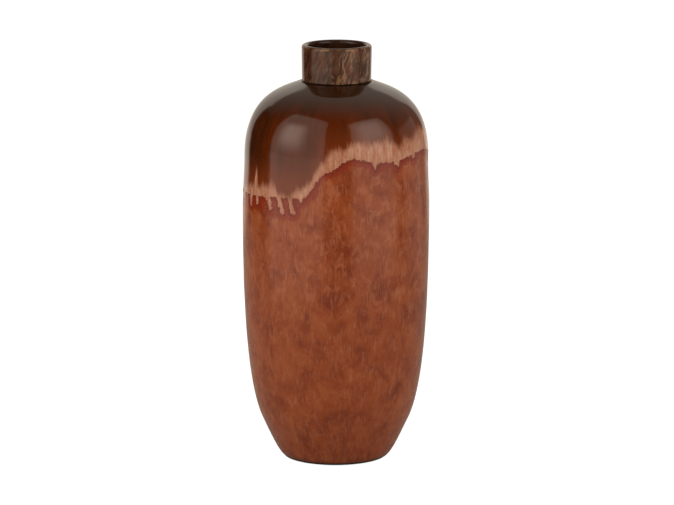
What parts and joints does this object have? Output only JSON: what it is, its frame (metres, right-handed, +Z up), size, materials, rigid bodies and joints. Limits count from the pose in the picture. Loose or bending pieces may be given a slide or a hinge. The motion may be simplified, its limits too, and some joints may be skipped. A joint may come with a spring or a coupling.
{
  "type": "pottery vase",
  "caption": "Tall stoneware vase with a small foot, high wide belly, domed shoulder and short straight collar, in rust glaze under a dark running overglaze.",
  "frame": {"origin": "centre of the plane that the foot ring stands on", "axes": "+Z up along the turning axis, -Y towards the front, +X to the front's right"},
  "size_m": [0.206, 0.2056, 0.46],
  "materials": {
    "clay": "unglazed, matte",
    "rust_glaze": "satin",
    "dark_glaze": "gloss",
    "collar_glaze": "gloss",
    "liner_glaze": "gloss"
  },
  "bodies": {
    "root": {"base_disc": "clay", "lower_body": "clay", "upper_body": "clay", "neck_collar": "clay", "rust_glaze": "rust_glaze", "dark_glaze": "dark_glaze", "collar_glaze": "collar_glaze", "liner_glaze": "liner_glaze"}
  },
  "joints": []
}
